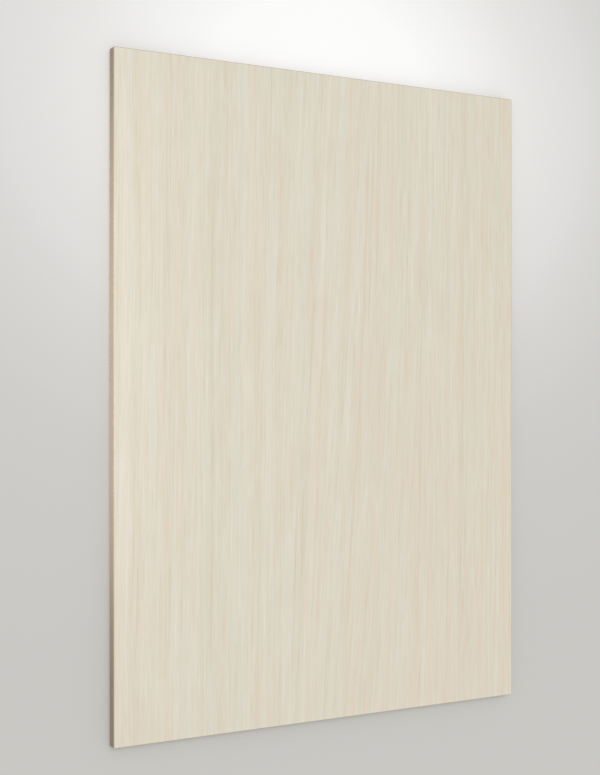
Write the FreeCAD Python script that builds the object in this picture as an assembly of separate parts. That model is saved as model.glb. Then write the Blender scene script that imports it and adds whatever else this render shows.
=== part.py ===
"""Decorative laminate sheet: one flat, rectangular sheet of compact high-pressure laminate.

The decor paper, the kraft core and the back are pressed into one piece, so the sheet is one solid.
It lies on its back face with the decor face up. The grain of the decor runs along Y.
The origin is the middle of the back face, with X across the grain and Z through the thickness.
All sizes are in millimetres.
"""

import FreeCAD
import Part

import os

SHEET_WIDTH = 210.0  # across the grain
SHEET_LENGTH = 297.0  # along the grain
SHEET_THICKNESS = 5.0  # back face to decor face
CORNER_RADIUS = 0.5  # the four upright corners, rounded by the sanding pad
ARRIS_BREAK = 0.3  # 45 degree break along the rims of both faces

UP = FreeCAD.Vector(0, 0, 1)
TOLERANCE = 1e-6  # heights, and directions, that differ by less than this count as the same


def sawn_blank():
    """The square-edged rectangle as it leaves the panel saw, lying on its back face."""
    corner = FreeCAD.Vector(-SHEET_WIDTH / 2, -SHEET_LENGTH / 2, 0)
    return Part.makeBox(SHEET_WIDTH, SHEET_LENGTH, SHEET_THICKNESS, corner)


def upright_edges(solid):
    """The straight edges that run through the thickness, one at each corner."""
    uprights = []
    for edge in solid.Edges:
        direction = edge.tangentAt(edge.FirstParameter)
        if direction.cross(UP).Length < TOLERANCE:
            uprights.append(edge)
    return uprights


def face_rims(solid):
    """Every edge that lies in the back face or in the decor face."""
    rims = []
    for height in (0, SHEET_THICKNESS):
        for edge in solid.Edges:
            if all(abs(vertex.Z - height) < TOLERANCE for vertex in edge.Vertexes):
                rims.append(edge)
    return rims


def laminate_sheet():
    """The finished sheet: the sawn blank with rounded corners and broken arrises."""
    blank = sawn_blank()
    rounded = blank.makeFillet(CORNER_RADIUS, upright_edges(blank))
    return rounded.makeChamfer(ARRIS_BREAK, face_rims(rounded))


def write_node(name, shape):
    """Writes one sub-part, checked to be a single closed solid."""
    solid = shape.Solids[0]
    if len(shape.Solids) != 1 or not solid.isValid():
        raise ValueError(f"{name} is not one valid solid")
    solid.exportStep(f"parts/{name}.step")


os.makedirs("parts", exist_ok=True)
write_node("laminate_sheet", laminate_sheet())
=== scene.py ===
"""Looks of a decorative laminate sheet: its pressed decor face, sanded edges and back, and its studio.

The file is laid out as an add-on and is run as a script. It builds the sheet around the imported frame,
in metres: +Z is up, the grain of the decor runs along Y, and the back face lies on the floor.
"""

import math

import bmesh
import bpy
from bpy.props import FloatProperty, FloatVectorProperty, IntProperty, PointerProperty
from bpy.types import Operator, Panel, PropertyGroup
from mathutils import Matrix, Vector


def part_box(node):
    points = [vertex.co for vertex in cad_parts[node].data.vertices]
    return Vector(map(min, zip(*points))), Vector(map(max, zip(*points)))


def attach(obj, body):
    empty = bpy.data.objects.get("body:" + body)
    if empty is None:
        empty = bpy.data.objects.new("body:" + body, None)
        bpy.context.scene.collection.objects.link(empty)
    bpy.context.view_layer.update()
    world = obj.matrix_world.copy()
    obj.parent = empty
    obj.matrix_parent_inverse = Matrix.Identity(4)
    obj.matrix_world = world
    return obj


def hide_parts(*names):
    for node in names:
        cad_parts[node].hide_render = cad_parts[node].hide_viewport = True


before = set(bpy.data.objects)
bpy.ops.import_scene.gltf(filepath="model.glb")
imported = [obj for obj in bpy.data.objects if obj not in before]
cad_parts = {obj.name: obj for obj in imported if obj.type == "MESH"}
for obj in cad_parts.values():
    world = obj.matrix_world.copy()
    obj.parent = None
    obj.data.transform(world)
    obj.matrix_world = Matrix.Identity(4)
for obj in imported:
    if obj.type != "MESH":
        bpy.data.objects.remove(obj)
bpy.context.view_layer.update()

bl_info = {
    "name": "Laminate Sheet",
    "version": (1, 0, 0),
    "blender": (4, 5, 0),
    "location": "3D View > Sidebar > Laminate",
    "description": "Presses a decorative laminate sheet with a pale wood decor and sets its studio",
    "category": "Object",
}

MM = 0.001
SHEET_LOW, SHEET_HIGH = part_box("laminate_sheet")
SHEET_SIZE = SHEET_HIGH - SHEET_LOW
SHEET_MIDDLE = (SHEET_HIGH + SHEET_LOW) / 2
WIDTH, LENGTH, THICKNESS = SHEET_SIZE
TOP, BOTTOM = SHEET_HIGH.z, SHEET_LOW.z
PIECE_NAME = "pressed_sheet"
SAME_PLACE = 1e-6  # two places that differ by less than this are the same
NEARLY_FLAT = 0.95  # a face whose normal rises or falls by more than this lies flat
RESIN_IOR = 1.5  # refraction of the cured resins, on every side of the sheet


def tone(red, green, blue):
    """A colour given in 0 to 255 display values, as the linear values that a shader takes (sRGB curve)."""
    linear = []
    for value in (red, green, blue):
        share = value / 255
        linear.append(share / 12.92 if share <= 0.04045 else ((share + 0.055) / 1.055) ** 2.4)
    return tuple(linear)


def colour(name, description, default):
    """A colour property that shows as a swatch."""
    return FloatVectorProperty(
        name=name, description=description, default=default, subtype="COLOR", size=3, min=0, max=1
    )


def length(name, description, default):
    """A length property in metres."""
    return FloatProperty(
        name=name, description=description, default=default, unit="LENGTH", subtype="DISTANCE", precision=5
    )


# ------------------------------------------------------------------------------------------ settings


class SheetShape(PropertyGroup):
    """Sizes of the sheet that the frame's box doesn't give."""

    columns: IntProperty(name="Columns", description="Cells of the decor face across the grain", default=372)
    rows: IntProperty(name="Rows", description="Cells of the decor face along the grain", default=150)
    border: length("Border", "Plain strip round the pressed field, with the rounded corners", 1.2 * MM)
    corner: length("Corner radius", "Rounding of the four upright corners", 0.5 * MM)
    arris: length("Arris", "Break along the rims of both faces", 0.3 * MM)
    pore_depth: length("Pore depth", "How deep the press plate marks the fine pores", 0.025 * MM)
    figure_depth: length("Figure depth", "How deep the press plate marks the broad figure", 0.02 * MM)


class DecorTones(PropertyGroup):
    """Printed tones of the wood decor and how strongly they show."""

    chalk: colour("Chalk", "Palest streaks", tone(226, 220, 208))
    cream: colour("Cream", "Ground tone of the decor", tone(218, 211, 193))
    honey: colour("Honey", "Yellowish beige streaks", tone(211, 197, 171))
    blush: colour("Blush", "Pinkish tan veins", tone(224, 205, 183))
    mist: colour("Mist", "Cool grey-green streaks", tone(212, 214, 199))
    fibre_width: length("Fibre width", "Width of the coarsest long fibres", 5.5 * MM)
    fibre_length: length("Fibre length", "Length of the coarsest long fibres", 600 * MM)


class EdgeTones(PropertyGroup):
    """Tones of the pressed core where it is sawn and sanded."""

    kraft: colour("Kraft", "Sanded edge of the paper core", tone(151, 137, 121))
    resin: colour("Resin", "Darker resin lines between the papers", tone(129, 115, 100))
    decor_line: colour("Decor line", "Cut edge of the decor paper along the upper arris", tone(192, 178, 157))
    back: colour("Back", "Sanded back", tone(158, 138, 112))


class StudioSettings(PropertyGroup):
    """Camera, floor and light."""

    lens: FloatProperty(name="Lens", description="Focal length in millimetres", default=60.81)
    turn: FloatProperty(
        name="Turn",
        description="Lean of the camera off the face's normal",
        default=math.radians(28.6),
        subtype="ANGLE",
    )
    shift: FloatProperty(
        name="Shift", description="Upward shift of the frame, as a share of its longer side", default=0.009
    )
    floor: colour("Floor", "Pale grey of the floor away from the glow", tone(201, 200, 196))
    ambient: FloatProperty(name="Ambient", description="Strength of the light from all round", default=0.60)
    key: FloatProperty(name="Key", description="Strength of the soft sun", default=1.29)


# ----------------------------------------------------------------------------------------- modelling


def deselect_all():
    """Leaves no object selected."""
    bpy.ops.object.select_all(action="DESELECT")


def edit(sheet):
    """Opens one object alone in edit mode with nothing in it selected."""
    deselect_all()
    sheet.select_set(True)
    bpy.context.view_layer.objects.active = sheet
    bpy.ops.object.mode_set(mode="EDIT")
    bpy.ops.mesh.select_all(action="DESELECT")


def pick_edges(sheet, wanted):
    """Selects, in edit mode, only the edges for which wanted(edge) is true."""
    bpy.ops.mesh.select_all(action="DESELECT")
    bpy.ops.mesh.select_mode(type="EDGE")
    mesh = bmesh.from_edit_mesh(sheet.data)
    for edge in mesh.edges:
        if wanted(edge):
            edge.select_set(True)
    bmesh.update_edit_mesh(sheet.data)


def press_field(shape):
    """The field of the decor face as a fine grid, and a plain border from it to the sheet's outline."""
    deselect_all()
    place = (SHEET_MIDDLE.x, SHEET_MIDDLE.y, TOP)
    bpy.ops.mesh.primitive_grid_add(
        x_subdivisions=shape.columns, y_subdivisions=shape.rows, size=1, location=place
    )
    sheet = bpy.context.object
    sheet.name = PIECE_NAME
    sheet.data.name = PIECE_NAME
    bpy.ops.object.transform_apply(location=True, rotation=False, scale=False)
    edit(sheet)
    bpy.ops.mesh.select_all(action="SELECT")
    field = (WIDTH - 2 * shape.border, LENGTH - 2 * shape.border, 1)
    bpy.ops.transform.resize(value=field, center_override=place)
    for outward in (Vector((-1, 0, 0)), Vector((1, 0, 0)), Vector((0, -1, 0)), Vector((0, 1, 0))):
        reach = max(vertex.co.dot(outward) for vertex in bmesh.from_edit_mesh(sheet.data).verts)

        def on_side(edge):
            return all(abs(vertex.co.dot(outward) - reach) < SAME_PLACE for vertex in edge.verts)

        pick_edges(sheet, on_side)
        bpy.ops.mesh.extrude_region_move(TRANSFORM_OT_translate={"value": outward * shape.border})
    return sheet


def close_body(sheet):
    """Draws the outline down through the thickness and closes the back."""
    pick_edges(sheet, lambda edge: edge.is_boundary)
    bpy.ops.mesh.extrude_region_move(TRANSFORM_OT_translate={"value": (0, 0, -THICKNESS)})
    pick_edges(sheet, lambda edge: edge.is_boundary)
    bpy.ops.mesh.edge_face_add()
    bpy.ops.mesh.select_all(action="SELECT")
    bpy.ops.mesh.normals_make_consistent(inside=False)


def ease_edges(sheet, shape):
    """Rounds the four upright corners and breaks the arrises of both faces."""
    pick_edges(sheet, is_upright_corner)
    bpy.ops.mesh.bevel(offset_type="OFFSET", offset=shape.corner, segments=6, profile=0.5, affect="EDGES")
    pick_edges(sheet, is_rim)
    bpy.ops.mesh.bevel(offset_type="OFFSET", offset=shape.arris, segments=2, profile=0.5, affect="EDGES")


def is_upright_corner(edge):
    """True for an edge that runs through the thickness between two walls at right angles."""
    first, second = edge.verts
    upright = abs(first.co.z - second.co.z) > THICKNESS / 2
    return upright and edge.calc_face_angle(0) > math.radians(80)


def is_rim(edge):
    """True for an edge between a face of the sheet and a wall."""
    flat = [face for face in edge.link_faces if abs(face.normal.z) > NEARLY_FLAT]
    return len(edge.link_faces) == 2 and len(flat) == 1


# Marks of the press plate: their size across the grain and along it.
FIGURE_MARKS = (7 * MM, 160 * MM)
PORE_MARKS = (1.6 * MM, 28 * MM)


def emboss(sheet, name, across, along, depth):
    """Lowers the field by up to depth, in marks of the given size across and along the grain."""
    placing = bpy.data.objects.new(name, None)
    bpy.context.scene.collection.objects.link(placing)
    placing.scale = (across, along, 1)
    bpy.context.view_layer.update()
    marks = bpy.data.textures.new(name, "CLOUDS")
    marks.noise_scale = 1.0
    marks.noise_depth = 1
    press = sheet.modifiers.new(name, "DISPLACE")
    press.texture = marks
    press.texture_coords = "OBJECT"
    press.texture_coords_object = placing
    press.vertex_group = "field"
    press.direction = "Z"
    press.mid_level = 1.0
    press.strength = depth
    bpy.ops.object.modifier_apply(modifier=press.name)
    bpy.data.objects.remove(placing)
    bpy.data.textures.remove(marks)


def emboss_field(sheet, shape):
    """Presses the grain into the decor face, which stays at its full height along the border."""
    half_width = WIDTH / 2 - shape.border + SAME_PLACE
    half_length = LENGTH / 2 - shape.border + SAME_PLACE
    field = sheet.vertex_groups.new(name="field")
    marked = [
        vertex.index
        for vertex in sheet.data.vertices
        if vertex.co.z > TOP - SAME_PLACE
        and abs(vertex.co.x - SHEET_MIDDLE.x) < half_width
        and abs(vertex.co.y - SHEET_MIDDLE.y) < half_length
    ]
    field.add(marked, 1.0, "REPLACE")
    emboss(sheet, "figure", *FIGURE_MARKS, shape.figure_depth)
    emboss(sheet, "pores", *PORE_MARKS, shape.pore_depth)
    sheet.vertex_groups.clear()


DECOR, CORE, BACK = 0, 1, 2  # the sheet's three finishes, in the order of its material slots


def dress(sheet, decor, core, back):
    """Gives each face of the mesh its finish: decor above, sanded core round the edges, back below."""
    for finish in (decor, core, back):
        sheet.data.materials.append(finish)
    for face in sheet.data.polygons:
        if face.normal.z > NEARLY_FLAT:
            face.material_index = DECOR
        elif face.normal.z < -NEARLY_FLAT:
            face.material_index = BACK
        else:
            face.material_index = CORE


# Rows of the flat map, as shares of its height: the lowest line of each and its height.
MAP_MARGIN = 0.01
DECOR_ROW = (0.36, 0.63)
BACK_ROW = (0.15, 0.19)
EDGE_STRIP = (0.01, 0.026)
NEXT_STRIP = 0.034  # from the lowest line of one edge strip to that of the next
FOLD = 0.1  # room above and below an edge's middle part for its arrises, as a share of the thickness


def lay_out_map(sheet):
    """A flat map of the whole surface: the decor face on top, the back below it, and four edge strips.

    Across the grain the decor face gets the map's whole width, because the streaks are finest that way.
    """
    layer = sheet.data.uv_layers.new(name="OFBake")
    for face in sheet.data.polygons:
        for loop in face.loop_indices:
            point = sheet.data.vertices[sheet.data.loops[loop].vertex_index].co
            across = (point.x - SHEET_LOW.x) / WIDTH
            along = (point.y - SHEET_LOW.y) / LENGTH
            if face.material_index == DECOR:
                place = (across, DECOR_ROW[0] + DECOR_ROW[1] * along)
            elif face.material_index == BACK:
                place = (across, BACK_ROW[0] + BACK_ROW[1] * along)
            else:
                place = edge_place(face.normal, point.z - BOTTOM, across, along)
            layer.data[loop].uv = (MAP_MARGIN + (1 - 2 * MAP_MARGIN) * place[0], place[1])


def edge_place(normal, height, across, along):
    """A point's place in the strip of the edge that it is on, with both arrises folded out flat."""
    on_side = abs(normal.x) > abs(normal.y)
    if on_side:
        run, inset, rank = along, min(across, 1 - across) * WIDTH, 0 if normal.x < 0 else 1
    else:
        run, inset, rank = across, min(along, 1 - along) * LENGTH, 2 if normal.y < 0 else 3
    unfolded = height + (inset if normal.z > 0 else -inset)
    share = (unfolded / THICKNESS + FOLD) / (1 + 2 * FOLD)
    return run, EDGE_STRIP[0] + NEXT_STRIP * rank + EDGE_STRIP[1] * share


# ----------------------------------------------------------------------------------------- materials


def add_node(tree, kind, **settings):
    """Adds one shader node and sets its own properties."""
    made = tree.nodes.new("ShaderNode" + kind)
    for name, value in settings.items():
        setattr(made, name, value)
    return made


def feed(tree, target, value):
    """Links a socket to target, or sets target to a plain value."""
    if isinstance(value, bpy.types.NodeSocket):
        tree.links.new(value, target)
    elif value is not None:
        target.default_value = value


def calculate(tree, operation, first, second=None, third=None, clamp=False):
    """One Math node. Each value is a number or a socket."""
    made = add_node(tree, "Math", operation=operation, use_clamp=clamp)
    for target, value in zip(made.inputs, (first, second, third)):
        feed(tree, target, value)
    return made.outputs[0]


def blend(tree, share, first, second):
    """first where share is 0 and second where it is 1."""
    made = add_node(tree, "Mix", data_type="RGBA", clamp_factor=True)
    feed(tree, made.inputs["Factor"], share)
    colours = [socket for socket in made.inputs if socket.type == "RGBA"]
    for target, value in zip(colours, (first, second)):
        feed(tree, target, (*value, 1) if isinstance(value, tuple) else value)
    return next(socket for socket in made.outputs if socket.type == "RGBA")


def spread(tree, value, low, high, to_low=0.0, to_high=1.0, smooth=False):
    """Maps low to high onto to_low to to_high, and stops there."""
    made = add_node(tree, "MapRange", interpolation_type="SMOOTHSTEP" if smooth else "LINEAR")
    for name, number in (("From Min", low), ("From Max", high), ("To Min", to_low), ("To Max", to_high)):
        feed(tree, made.inputs[name], number)
    feed(tree, made.inputs["Value"], value)
    return made.outputs["Result"]


def stretched_noise(tree, vector, across, along, seed, detail=0.0, roughness=0.5):
    """Noise of about 0.5 in cells that measure across by along. The seed picks another part of it."""
    placed = add_node(tree, "Mapping")
    feed(tree, placed.inputs["Vector"], vector)
    placed.inputs["Scale"].default_value = (1 / across, 1 / along, 1)
    placed.inputs["Location"].default_value = (7.3 * seed, 3.1 * seed, 11.7 * seed)
    noise = add_node(tree, "TexNoise", noise_dimensions="3D")
    feed(tree, noise.inputs["Vector"], placed.outputs["Vector"])
    noise.inputs["Scale"].default_value = 1
    noise.inputs["Detail"].default_value = detail
    noise.inputs["Roughness"].default_value = roughness
    return noise.outputs["Fac"]


def swing(tree, noise, gain):
    """Noise swung about nought: from about minus half the gain to plus half."""
    return calculate(tree, "MULTIPLY", calculate(tree, "SUBTRACT", noise, 0.5), gain)


def add_up(tree, values):
    """The sum of several sockets."""
    total = values[0]
    for value in values[1:]:
        total = calculate(tree, "ADD", total, value)
    return total


def new_finish(name):
    """An empty material with its shader, its tree, and the object's own coordinates."""
    finish = bpy.data.materials.new(name)
    finish.use_nodes = True
    tree = finish.node_tree
    shader = tree.nodes["Principled BSDF"]
    place = add_node(tree, "TexCoord").outputs["Object"]
    return finish, tree, shader, place


def split(tree, vector):
    """The three parts of a vector."""
    made = add_node(tree, "SeparateXYZ")
    feed(tree, made.inputs[0], vector)
    return made.outputs


def join(tree, x, y, z):
    """A vector from three parts."""
    made = add_node(tree, "CombineXYZ")
    for target, value in zip(made.inputs, (x, y, z)):
        feed(tree, target, value)
    return made.outputs[0]


def raise_bump(tree, shader, height, distance, strength=1.0):
    """Drives the shader's normal by a height between 0 and 1, where 1 stands for distance."""
    bump = add_node(tree, "Bump")
    bump.inputs["Strength"].default_value = strength
    bump.inputs["Distance"].default_value = distance
    feed(tree, bump.inputs["Height"], height)
    feed(tree, shader.inputs["Normal"], bump.outputs["Normal"])


BELT_MIDDLE, BELT_WIDTH = 0.05 * WIDTH, 0.15 * WIDTH  # the belt where the grain leans to the right
LEAN = 0.007  # lean of the grain outside the belt, in metres across for each metre along
BELT_LEAN = 0.052  # what the belt adds to it at half length
STRAIGHTER = 0.08  # how much less that is with each metre towards the upper end
WAVER_SIZE, WAVER = (45 * MM, 170 * MM), 1.2 * MM  # size of the grain's slow wavering, and how far it goes


def follow_grain(tree, place):
    """Coordinates that run with the grain, which leans to the right in a belt right of the middle.

    The first part is the place across the grain at half length, and the second the place along it.
    """
    x, y, _ = split(tree, place)
    off_belt = calculate(tree, "DIVIDE", calculate(tree, "SUBTRACT", x, BELT_MIDDLE), BELT_WIDTH)
    squared = calculate(tree, "POWER", off_belt, 2.0)
    belt = calculate(tree, "EXPONENT", calculate(tree, "MULTIPLY", squared, -1.0))
    belt_lean = calculate(tree, "SUBTRACT", BELT_LEAN, calculate(tree, "MULTIPLY", y, STRAIGHTER))
    slope = calculate(tree, "MULTIPLY_ADD", belt, belt_lean, LEAN)
    lean = calculate(tree, "MULTIPLY", slope, y)
    waver = swing(tree, stretched_noise(tree, place, *WAVER_SIZE, 1), WAVER)
    across = calculate(tree, "SUBTRACT", calculate(tree, "SUBTRACT", x, lean), waver)
    return join(tree, across, y, 0.0), across, y


# Streaks that stand out: place across from the left edge and place along from the lower edge, as shares
# of the sheet, then the length as a share of the sheet's, the width in millimetres and the strength.
VEINS = (
    (0.575, 0.52, 0.95, 1.5, 0.95),
    (0.590, 0.76, 0.30, 1.0, 0.60),
    (0.220, 0.50, 0.90, 1.8, 0.45),
    (0.217, 0.17, 0.24, 1.2, 0.60),
    (0.412, 0.37, 0.20, 1.4, 0.45),
    (0.445, 0.20, 0.36, 1.5, 0.50),
    (0.450, 0.62, 0.28, 1.4, 0.50),
    (0.640, 0.58, 0.26, 1.2, 0.40),
    (0.620, 0.14, 0.22, 1.0, 0.40),
    (0.745, 0.42, 0.30, 1.3, 0.45),
    (0.745, 0.74, 0.22, 1.6, 0.35),
    (0.765, 0.16, 0.24, 1.3, 0.50),
    (0.826, 0.10, 0.24, 1.3, 0.50),
    (0.875, 0.16, 0.22, 1.2, 0.60),
    (0.888, 0.52, 0.20, 1.5, 0.35),
    (0.260, 0.15, 0.14, 1.0, 0.35),
    (0.150, 0.22, 0.20, 1.2, 0.35),
    (0.080, 0.66, 0.26, 1.4, 0.30),
    (0.440, 0.92, 0.22, 1.2, 0.35),
)
CHALK_LINES_AND_PAINTED_LEFT_LIGHT = (
    (0.470, 0.55, 0.95, 1.6, 0.80),
    (0.425, 0.86, 0.22, 1.2, 0.45),
    (0.725, 0.88, 0.26, 1.6, 0.45),
    # This line along the left rim is longer than the sheet and 6 mm wide. It is painted light: it pales the
    # strip by the left edge as light from the left would.
    (0.023, 0.60, 1.40, 6.0, 0.60),
    (0.275, 0.90, 0.30, 1.5, 0.35),
    (0.265, 0.30, 0.34, 1.2, 0.40),
    (0.680, 0.58, 0.24, 3.0, 0.30),
    (0.800, 0.50, 0.26, 1.4, 0.35),
    (0.520, 0.15, 0.26, 1.4, 0.35),
)


FADED = 0.6  # how far from its middle a streak has faded out, as a share of its width
SOLID_CORE = 0.35  # share of a streak's length that keeps its full strength


def drawn_streak():
    """A node group for one long thin streak, which fades out sideways and towards both ends."""
    group = bpy.data.node_groups.new("long_streak", "ShaderNodeTree")
    for name in ("Across", "Along", "Place across", "Place along", "Reach", "Width", "Strength"):
        group.interface.new_socket(name=name, in_out="INPUT", socket_type="NodeSocketFloat")
    group.interface.new_socket(name="Mark", in_out="OUTPUT", socket_type="NodeSocketFloat")
    given = group.nodes.new("NodeGroupInput").outputs

    def distance(one, other, unit):
        apart = calculate(group, "ABSOLUTE", calculate(group, "SUBTRACT", given[one], given[other]))
        return calculate(group, "DIVIDE", apart, given[unit])

    thin = spread(group, distance("Across", "Place across", "Width"), 1.0, 0.0, smooth=True)
    long = spread(group, distance("Along", "Place along", "Reach"), 1.0, SOLID_CORE, smooth=True)
    mark = calculate(group, "MULTIPLY", calculate(group, "MULTIPLY", thin, long), given["Strength"])
    group.links.new(mark, group.nodes.new("NodeGroupOutput").inputs["Mark"])
    return group


def draw_streaks(tree, group, streaks, across, along):
    """The sum of all streaks of one kind."""
    marks = []
    for share_across, share_along, share_long, width_mm, strength in streaks:
        drawn = add_node(tree, "Group", node_tree=group)
        feed(tree, drawn.inputs["Across"], across)
        feed(tree, drawn.inputs["Along"], along)
        drawn.inputs["Place across"].default_value = SHEET_LOW.x + share_across * WIDTH
        drawn.inputs["Place along"].default_value = SHEET_LOW.y + share_along * LENGTH
        drawn.inputs["Reach"].default_value = share_long * LENGTH / 2
        drawn.inputs["Width"].default_value = FADED * width_mm * MM
        drawn.inputs["Strength"].default_value = strength
        marks.append(drawn.outputs["Mark"])
    return add_up(tree, marks)


FULL_SWING = 0.5  # how far the sum of the layers goes before the palest or deepest tone is reached
TINT_SHARE = 0.8  # strength of the pinkish and grey-green tints
FACE_ROUGHNESS = (0.54, 0.44)  # in the plate's fine hollows and on its fine ridges
FACE_BUMP = 0.012 * MM


def make_decor(tones):
    """The printed wood decor under its matt melamine overlay."""
    finish, tree, shader, place = new_finish("decor_face")
    grain, across, along = follow_grain(tree, place)
    broad = stretched_noise(tree, grain, 34 * MM, 900 * MM, 3)
    long_fibres = stretched_noise(
        tree, grain, tones.fibre_width, tones.fibre_length, 2, detail=3.0, roughness=0.85
    )
    short_fibres = stretched_noise(tree, grain, 1.4 * MM, 80 * MM, 4, detail=1.0, roughness=0.9)
    pores = stretched_noise(tree, grain, 0.6 * MM, 24 * MM, 5, detail=1.0, roughness=0.9)
    plate_marks = stretched_noise(tree, grain, 0.28 * MM, 6 * MM, 8, detail=1.0)
    group = drawn_streak()
    uneven = spread(tree, stretched_noise(tree, grain, 8 * MM, 40 * MM, 6), 0.3, 0.6, 0.4, 1.0)
    veins = calculate(tree, "MULTIPLY", draw_streaks(tree, group, VEINS, across, along), uneven)
    # lines holds the pale streaks of the print and the painted light along the left rim.
    lines = calculate(tree, "MULTIPLY", draw_streaks(tree, group, CHALK_LINES_AND_PAINTED_LEFT_LIGHT, across, along), uneven)
    light = add_up(tree, [
        swing(tree, broad, 0.06),
        swing(tree, long_fibres, 1.04),
        swing(tree, short_fibres, 0.34),
        swing(tree, pores, 1.20),
        swing(tree, plate_marks, 0.50),
        calculate(tree, "MULTIPLY", lines, 0.50),
        calculate(tree, "MULTIPLY", veins, -0.70),
    ])
    paler = spread(tree, light, 0.0, FULL_SWING)
    deeper = spread(tree, light, 0.0, -FULL_SWING)
    ground = blend(tree, paler, tuple(tones.cream), tuple(tones.chalk))
    ground = blend(tree, deeper, ground, tuple(tones.honey))
    long_tint = stretched_noise(tree, grain, 7 * MM, 600 * MM, 7, detail=3.0, roughness=0.9)
    short_tint = stretched_noise(tree, grain, 2.5 * MM, 60 * MM, 9, detail=1.0, roughness=0.9)
    tint = add_up(tree, [
        swing(tree, long_tint, 2.7),
        swing(tree, short_tint, 1.3),
        calculate(tree, "MULTIPLY", veins, 1.3),
    ])
    pinkish = calculate(tree, "MULTIPLY", tint, TINT_SHARE, clamp=True)
    greenish = calculate(tree, "MULTIPLY", tint, -TINT_SHARE, clamp=True)
    ground = blend(tree, pinkish, ground, tuple(tones.blush))
    ground = blend(tree, greenish, ground, tuple(tones.mist))
    feed(tree, shader.inputs["Base Color"], ground)
    feed(tree, shader.inputs["Roughness"], spread(tree, plate_marks, 0.3, 0.7, *FACE_ROUGHNESS))
    shader.inputs["IOR"].default_value = RESIN_IOR
    raise_bump(tree, shader, plate_marks, FACE_BUMP)
    return finish


PAPER = 0.22 * MM  # one paper of the core after pressing
PAPER_WAVE = 0.12 * MM  # how far a paper wavers out of its plane
DECOR_CUT = (0.24 * MM, 0.16 * MM)  # depths under the face between which the decor's cut edge takes over
EDGE_ROUGHNESS = (0.5, 0.66)
EDGE_BUMP = 0.02 * MM


def make_core(tones):
    """The sawn and sanded edge: brown papers, darker resin between them, and the decor's cut edge above."""
    finish, tree, shader, place = new_finish("sanded_edge")
    _, _, height = split(tree, place)
    fibres = stretched_noise(tree, place, 2 * MM, 2 * MM, 11, detail=3.0, roughness=0.7)
    papers = add_node(tree, "TexNoise", noise_dimensions="1D")
    wavy = calculate(tree, "ADD", swing(tree, fibres, PAPER_WAVE), height)
    feed(tree, papers.inputs["W"], calculate(tree, "DIVIDE", wavy, PAPER))
    papers.inputs["Detail"].default_value = 1
    blotches = stretched_noise(tree, place, 18 * MM, 18 * MM, 12, detail=2.0)
    resin_lines = spread(tree, papers.outputs["Fac"], 0.42, 0.7)
    resin = add_up(tree, [
        calculate(tree, "MULTIPLY", resin_lines, 0.7),
        swing(tree, blotches, 0.5),
        swing(tree, fibres, 0.5),
    ])
    shade = blend(tree, resin, tuple(tones.kraft), tuple(tones.resin))
    decor_edge = spread(tree, height, TOP - DECOR_CUT[0], TOP - DECOR_CUT[1], smooth=True)
    shade = blend(tree, decor_edge, shade, tuple(tones.decor_line))
    feed(tree, shader.inputs["Base Color"], shade)
    sanding = stretched_noise(tree, place, 0.9 * MM, 0.9 * MM, 13, detail=4.0, roughness=0.75)
    feed(tree, shader.inputs["Roughness"], spread(tree, sanding, 0.3, 0.7, *EDGE_ROUGHNESS))
    shader.inputs["IOR"].default_value = RESIN_IOR
    raise_bump(tree, shader, add_up(tree, [papers.outputs["Fac"], sanding]), EDGE_BUMP)
    return finish


WORN_PALER, WORN_DARKER = 1.25, 0.8  # palest and darkest marks of the back, as shares of its tone
BACK_ROUGHNESS = (0.62, 0.78)
BACK_BUMP = 0.03 * MM


def make_back(tones):
    """The back of the sheet, sanded along its length so that glue holds."""
    finish, tree, shader, place = new_finish("sanded_back")
    scratches = stretched_noise(tree, place, 0.35 * MM, 22 * MM, 21, detail=3.0, roughness=0.7)
    clouds = stretched_noise(tree, place, 30 * MM, 45 * MM, 22, detail=3.0)
    worn = add_up(tree, [swing(tree, scratches, 0.9), swing(tree, clouds, 0.7)])
    pale = tuple(min(1.0, WORN_PALER * part) for part in tones.back)
    dark = tuple(WORN_DARKER * part for part in tones.back)
    shade = blend(tree, spread(tree, worn, -0.5, 0.5), dark, pale)
    feed(tree, shader.inputs["Base Color"], shade)
    feed(tree, shader.inputs["Roughness"], spread(tree, scratches, 0.3, 0.7, *BACK_ROUGHNESS))
    shader.inputs["IOR"].default_value = RESIN_IOR
    raise_bump(tree, shader, scratches, BACK_BUMP)
    return finish


# --------------------------------------------------------------------------------------------- stage


# A painted pool of white light on the floor: its middle, how its circle is drawn out, how far it reaches, and
# its tones at shares of that reach. From there on the floor has its own tone.
GLOW_MIDDLE = (0.0, 0.14, 0.0)
GLOW_STRETCH = (0.8, 1.0, 0.0)
GLOW_REACH = 0.27
PAINTED_GLOW_TONES = (
    (0.0, tone(255, 255, 255)),
    (0.11, tone(253, 253, 252)),
    (0.19, tone(249, 249, 248)),
    (0.33, tone(234, 233, 231)),
    (0.48, tone(220, 219, 217)),
    (0.63, tone(209, 208, 205)),
    (0.78, tone(204, 203, 200)),
)
FLOOR_SIZE = 60.0  # so large that its far rim lies on the horizon


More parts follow.
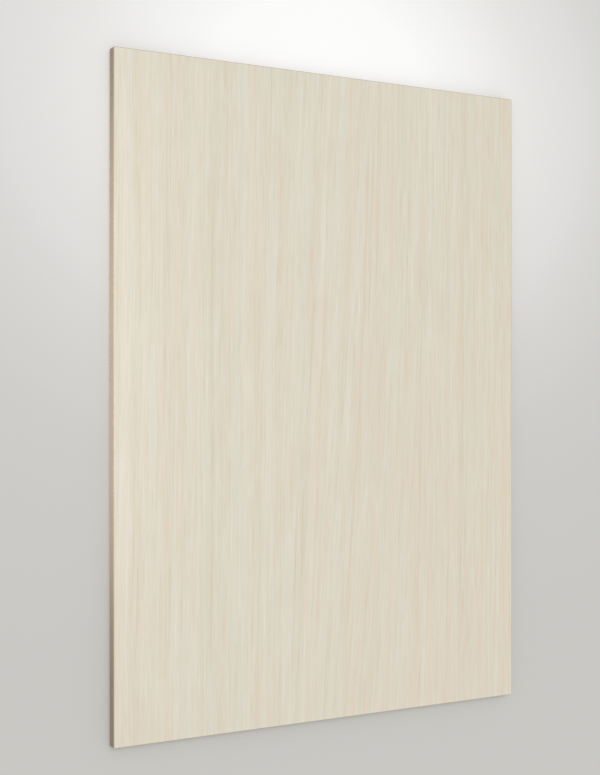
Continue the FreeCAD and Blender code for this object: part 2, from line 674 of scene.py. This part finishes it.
def make_floor_finish(studio):
    """A pale floor with a painted glow of white light on it, which only the camera and mirrored or passed
    rays see.
    """
    finish, tree, shader, place = new_finish("pale_floor")
    away = add_node(tree, "VectorMath", operation="SUBTRACT")
    feed(tree, away.inputs[0], place)
    away.inputs[1].default_value = GLOW_MIDDLE
    stretch = add_node(tree, "VectorMath", operation="MULTIPLY")
    feed(tree, stretch.inputs[0], away.outputs[0])
    stretch.inputs[1].default_value = GLOW_STRETCH
    far = add_node(tree, "VectorMath", operation="LENGTH")
    feed(tree, far.inputs[0], stretch.outputs[0])
    ramp = add_node(tree, "ValToRGB")
    ramp.color_ramp.interpolation = "CARDINAL"
    stops = (*PAINTED_GLOW_TONES, (1.0, tuple(studio.floor)))
    while len(ramp.color_ramp.elements) < len(stops):
        ramp.color_ramp.elements.new(0.5)
    for element, (position, shade) in zip(ramp.color_ramp.elements, stops):
        element.position = position
        element.color = (*shade, 1)
    feed(tree, ramp.inputs["Fac"], calculate(tree, "DIVIDE", far.outputs["Value"], GLOW_REACH))
    ray = add_node(tree, "LightPath").outputs
    mirrored = calculate(tree, "MAXIMUM", ray["Is Glossy Ray"], ray["Is Transmission Ray"])
    seen = calculate(tree, "MAXIMUM", ray["Is Camera Ray"], mirrored)
    # Camera and mirrored rays see the painted glow of light; the light that the floor throws back keeps its
    # plain tone.
    feed(tree, shader.inputs["Base Color"], blend(tree, seen, tuple(studio.floor), ramp.outputs["Color"]))
    shader.inputs["Roughness"].default_value = 1.0
    shader.inputs["Specular IOR Level"].default_value = 0.0
    return finish


def lay_floor(studio):
    """The floor under the sheet."""
    deselect_all()
    bpy.ops.mesh.primitive_plane_add(size=FLOOR_SIZE, location=(SHEET_MIDDLE.x, SHEET_MIDDLE.y, BOTTOM))
    floor = bpy.context.object
    floor.name = "floor"
    bpy.ops.object.transform_apply(location=True, rotation=False, scale=False)
    floor.data.materials.append(make_floor_finish(studio))


def light_world(studio):
    """Even light from all round. Where the camera sees past the floor it sees the floor's own tone."""
    world = bpy.data.worlds.new("studio")
    bpy.context.scene.world = world
    world.use_nodes = True
    tree = world.node_tree
    backdrop = tree.nodes["Background"]
    seen = add_node(tree, "LightPath").outputs["Is Camera Ray"]
    feed(tree, backdrop.inputs["Color"], blend(tree, seen, (1.0, 1.0, 1.0), tuple(studio.floor)))
    feed(tree, backdrop.inputs["Strength"], spread(tree, seen, 0, 1, studio.ambient, 1.0))


SUN_PLACE = (-0.4, 0.8, 4.0)  # the sun shines from here towards the origin
SUN_ANGLE = math.radians(45)
# A strip lamp low beside the left edge, for the sheet alone, and the place on the edge that it faces.
EDGE_LAMP_PLACE = (-0.175, 0.020, 0.010)
EDGE_LAMP_TARGET = (SHEET_LOW.x, 0.020, 0.010)
EDGE_LAMP_SIZE = (0.20, 0.01)
EDGE_LAMP_POWER = 0.120
CAMERA_PLACE = (-300.68 * MM, 1.24 * MM, 528.21 * MM)


def hang_lamp(name, place, target, size, power):
    """A rectangular soft lamp that faces target."""
    deselect_all()
    bpy.ops.object.light_add(type="AREA", location=place)
    lamp = bpy.context.object
    lamp.name = name
    lamp.data.shape = "RECTANGLE"
    lamp.data.size, lamp.data.size_y = size
    lamp.data.energy = power
    facing = Vector(target) - Vector(place)
    lamp.rotation_euler = facing.to_track_quat("-Z", "Y").to_euler()
    return lamp


def hang_sun(name, place, strength):
    """A wide soft sun, which lights the whole floor evenly."""
    deselect_all()
    bpy.ops.object.light_add(type="SUN", location=place)
    sun = bpy.context.object
    sun.name = name
    sun.data.angle = SUN_ANGLE
    sun.data.energy = strength
    sun.rotation_euler = (-Vector(place)).to_track_quat("-Z", "Y").to_euler()


def light_only(lamp, name):
    """Keeps a lamp's light to one object."""
    lit = bpy.data.collections.new(lamp.name + "_lights")
    lit.objects.link(bpy.data.objects[name])
    lamp.light_linking.receiver_collection = lit


def set_camera(studio):
    """The camera stands off the left side of the sheet and looks down on it."""
    deselect_all()
    bpy.ops.object.camera_add(location=CAMERA_PLACE, rotation=(0, -studio.turn, 0))
    camera = bpy.context.object
    camera.name = "camera"
    camera.data.lens = studio.lens
    camera.data.shift_y = studio.shift
    camera.data.clip_start = 0.01
    camera.data.clip_end = 100
    bpy.context.scene.camera = camera


# ----------------------------------------------------------------------------------------- operators


class LAMINATE_OT_press_sheet(Operator):
    """Presses the sheet: models it, finishes its faces and puts it in the place of the frame's sheet"""

    bl_idname = "laminate.press_sheet"
    bl_label = "Press Sheet"

    def execute(self, context):
        settings = context.scene
        shape = settings.laminate_shape
        sheet = press_field(shape)
        close_body(sheet)
        ease_edges(sheet, shape)
        bpy.ops.object.mode_set(mode="OBJECT")
        emboss_field(sheet, shape)
        dress(
            sheet,
            make_decor(settings.laminate_decor),
            make_core(settings.laminate_edges),
            make_back(settings.laminate_edges),
        )
        bpy.ops.object.shade_smooth_by_angle(angle=math.radians(20))
        lay_out_map(sheet)
        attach(sheet, "root")
        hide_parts("laminate_sheet")
        return {"FINISHED"}


class LAMINATE_OT_set_studio(Operator):
    """Sets the studio: floor, light and camera"""

    bl_idname = "laminate.set_studio"
    bl_label = "Set Studio"

    def execute(self, context):
        studio = context.scene.laminate_studio
        lay_floor(studio)
        light_world(studio)
        hang_sun("soft_sun", SUN_PLACE, studio.key)
        side = hang_lamp("edge_lamp", EDGE_LAMP_PLACE, EDGE_LAMP_TARGET, EDGE_LAMP_SIZE, EDGE_LAMP_POWER)
        side.visible_glossy = False
        light_only(side, PIECE_NAME)
        set_camera(studio)
        context.scene.view_settings.view_transform = "Standard"
        return {"FINISHED"}


class LAMINATE_PT_panel(Panel):
    """Settings and buttons for the laminate sheet"""

    bl_idname = "LAMINATE_PT_panel"
    bl_label = "Laminate Sheet"
    bl_space_type = "VIEW_3D"
    bl_region_type = "UI"
    bl_category = "Laminate"

    def draw(self, context):
        for title, name in SETTINGS:
            box = self.layout.box()
            box.label(text=title)
            group = getattr(context.scene, name)
            for key in group.bl_rna.properties.keys():
                if key not in ("rna_type", "name"):
                    box.prop(group, key)
        self.layout.operator(LAMINATE_OT_press_sheet.bl_idname)
        self.layout.operator(LAMINATE_OT_set_studio.bl_idname)


SETTINGS = (
    ("Shape", "laminate_shape"),
    ("Decor", "laminate_decor"),
    ("Edges and back", "laminate_edges"),
    ("Studio", "laminate_studio"),
)
GROUPS = (SheetShape, DecorTones, EdgeTones, StudioSettings)
CLASSES = (*GROUPS, LAMINATE_OT_press_sheet, LAMINATE_OT_set_studio, LAMINATE_PT_panel)


def register():
    for cls in CLASSES:
        bpy.utils.register_class(cls)
    for (_, name), group in zip(SETTINGS, GROUPS):
        setattr(bpy.types.Scene, name, PointerProperty(type=group))


def unregister():
    for _, name in SETTINGS:
        delattr(bpy.types.Scene, name)
    for cls in reversed(CLASSES):
        bpy.utils.unregister_class(cls)


def main():
    """Builds everything in order."""
    register()
    bpy.ops.laminate.press_sheet()
    bpy.ops.laminate.set_studio()


if __name__ == "__main__":
    main()
